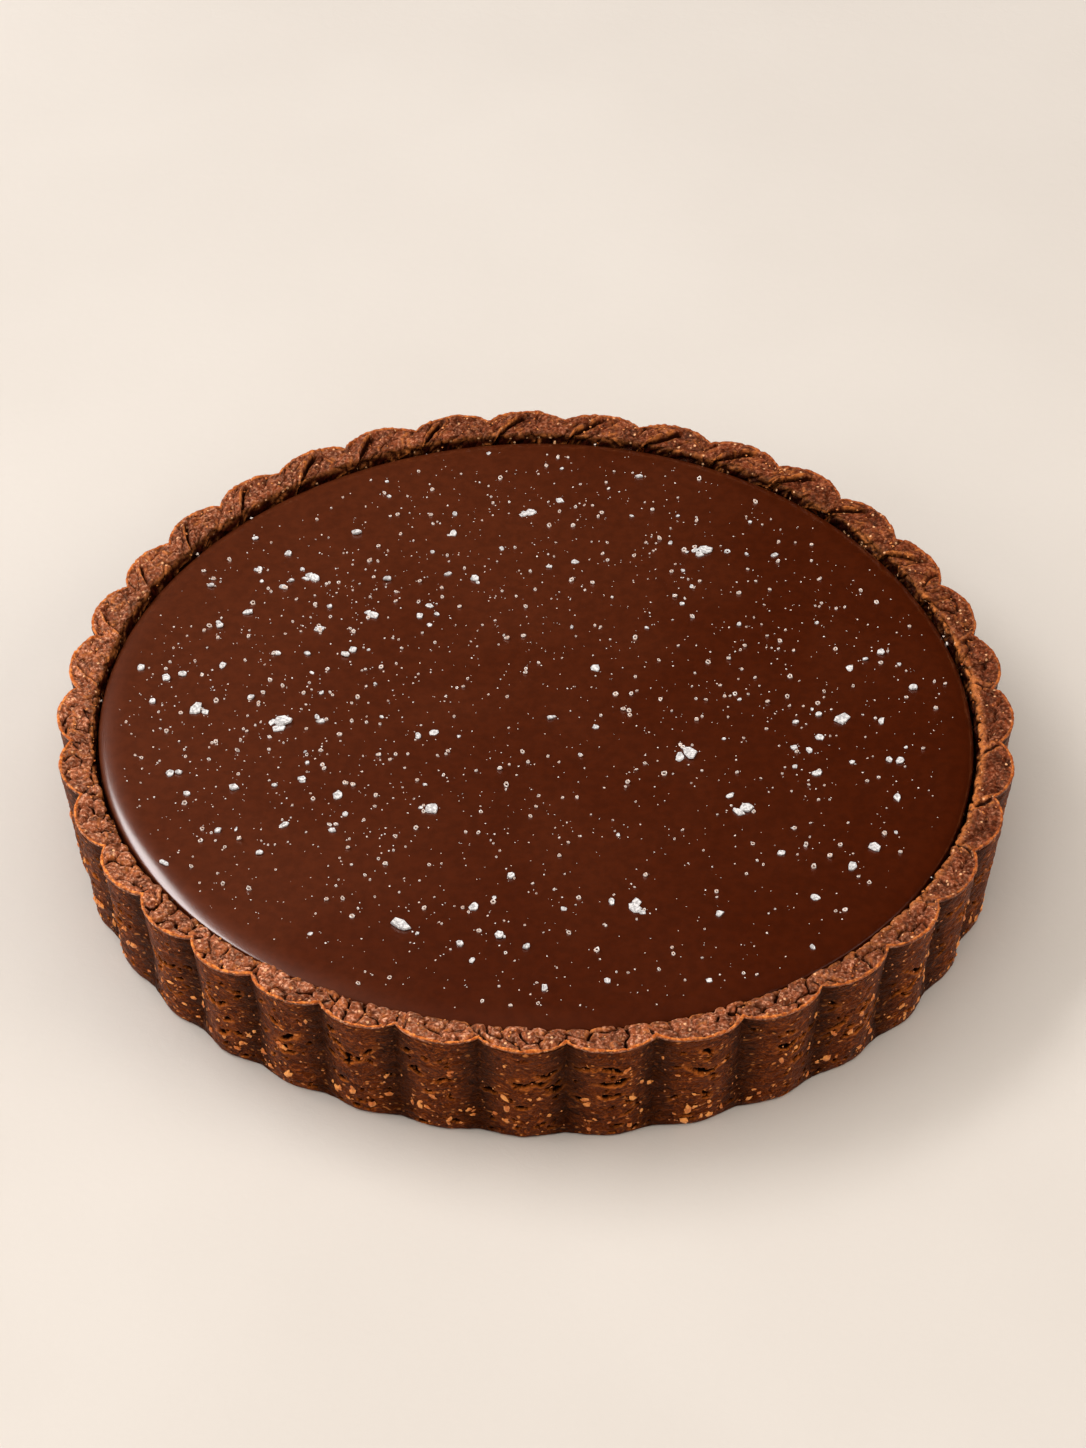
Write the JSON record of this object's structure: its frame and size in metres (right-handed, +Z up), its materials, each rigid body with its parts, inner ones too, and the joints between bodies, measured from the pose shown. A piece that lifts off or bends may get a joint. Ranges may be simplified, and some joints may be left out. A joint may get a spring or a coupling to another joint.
{
  "type": "chocolate tart",
  "caption": "Round chocolate tart: a fluted baked shortcrust case filled with smooth dark ganache, set a little below the rim and sprinkled with flaky sea salt.",
  "frame": {"origin": "middle of the tart's flat underside, on the surface it stands on", "axes": "+Z up through the filling, +X to the right and +Y away from the viewer as the tart is shown"},
  "size_m": [0.2478, 0.2467, 0.035],
  "materials": {
    "crust": "baked cocoa-brown shortcrust, satin where the tin pressed it, crumbly on the rim",
    "ganache": "smooth, softly glossy dark chocolate ganache",
    "salt": "white, slightly clear sea-salt flakes and grains",
    "toasted_sugar": "amber grains of toasted sugar"
  },
  "bodies": {
    "root": {"crust": "crust", "ganache": "ganache"}
  },
  "joints": []
}
